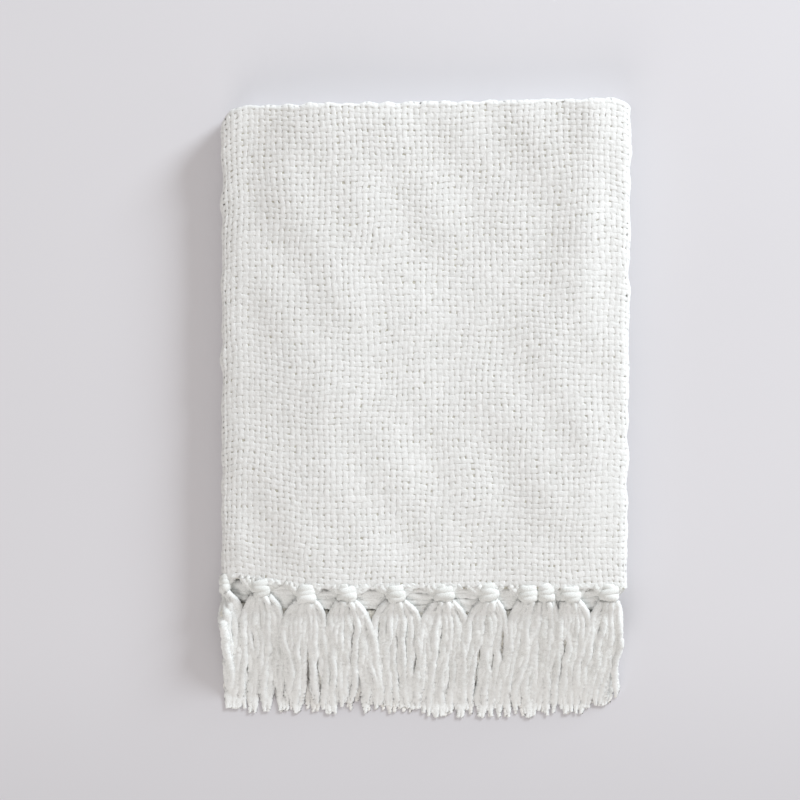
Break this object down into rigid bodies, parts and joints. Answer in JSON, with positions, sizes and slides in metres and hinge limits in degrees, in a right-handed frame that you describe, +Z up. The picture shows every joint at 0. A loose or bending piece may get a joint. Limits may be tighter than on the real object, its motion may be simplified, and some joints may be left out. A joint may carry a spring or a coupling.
{
  "type": "boucle throw blanket",
  "caption": "Folded throw blanket in a thick boucle plain weave, with rounded folds and a fringe of knotted tassels along its front edge.",
  "frame": {"origin": "middle of the underside of the folded stack with its fringe, on the surface it lies on", "axes": "+Z up; +Y along the stack, away from the fringe; +X across it, towards the narrow roll"},
  "size_m": [0.4282, 0.6452, 0.0445],
  "materials": {
    "cloth": "off-white boucle yarn in a thick plain weave, matt and fuzzy",
    "fringe": "off-white boucle yarn ends, twisted, knotted at the hem"
  },
  "bodies": {
    "root": {"throw": "cloth", "tassel_top_1": "fringe", "tassel_top_2": "fringe", "tassel_top_3": "fringe", "tassel_top_4": "fringe", "tassel_top_5": "fringe", "tassel_top_6": "fringe", "tassel_top_7": "fringe", "tassel_top_8": "fringe", "tassel_top_9": "fringe", "tassel_top_10": "fringe", "tassel_middle_1": "fringe", "tassel_middle_2": "fringe", "tassel_middle_3": "fringe", "tassel_middle_4": "fringe", "tassel_middle_5": "fringe", "tassel_middle_6": "fringe", "tassel_middle_7": "fringe", "tassel_middle_8": "fringe", "tassel_bottom_1": "fringe", "tassel_bottom_2": "fringe", "tassel_bottom_3": "fringe", "tassel_bottom_4": "fringe", "tassel_bottom_5": "fringe", "tassel_bottom_6": "fringe", "tassel_bottom_7": "fringe", "tassel_bottom_8": "fringe", "tassel_bottom_9": "fringe", "tassel_side": "fringe"}
  },
  "joints": []
}
